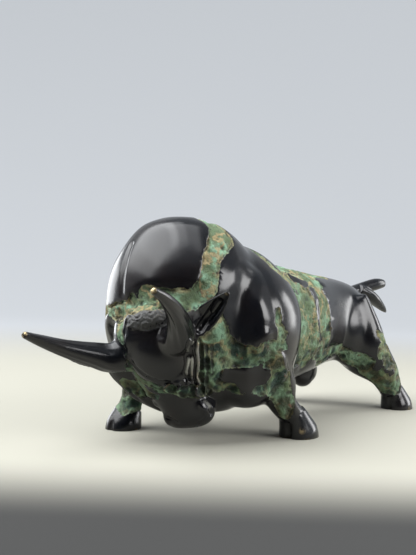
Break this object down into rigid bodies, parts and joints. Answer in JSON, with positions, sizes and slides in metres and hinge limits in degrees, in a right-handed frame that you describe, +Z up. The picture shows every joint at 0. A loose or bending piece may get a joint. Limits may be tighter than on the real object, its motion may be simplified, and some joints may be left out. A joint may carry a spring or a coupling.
{
  "type": "bull sculpture",
  "caption": "Charging bull cast in bronze, high humped and low headed, with forward horns and a flung up tail, standing on its own hooves.",
  "frame": {"origin": "on the ground, under the middle of the bull's bounding box", "axes": "+X from head to tail, +Y to the bull's right, +Z up"},
  "size_m": [0.3774, 0.1206, 0.1374],
  "materials": {
    "bronze": "polished near-black patina with rough green verdigris in the recesses"
  },
  "bodies": {
    "root": {"bull": "bronze"}
  },
  "joints": []
}
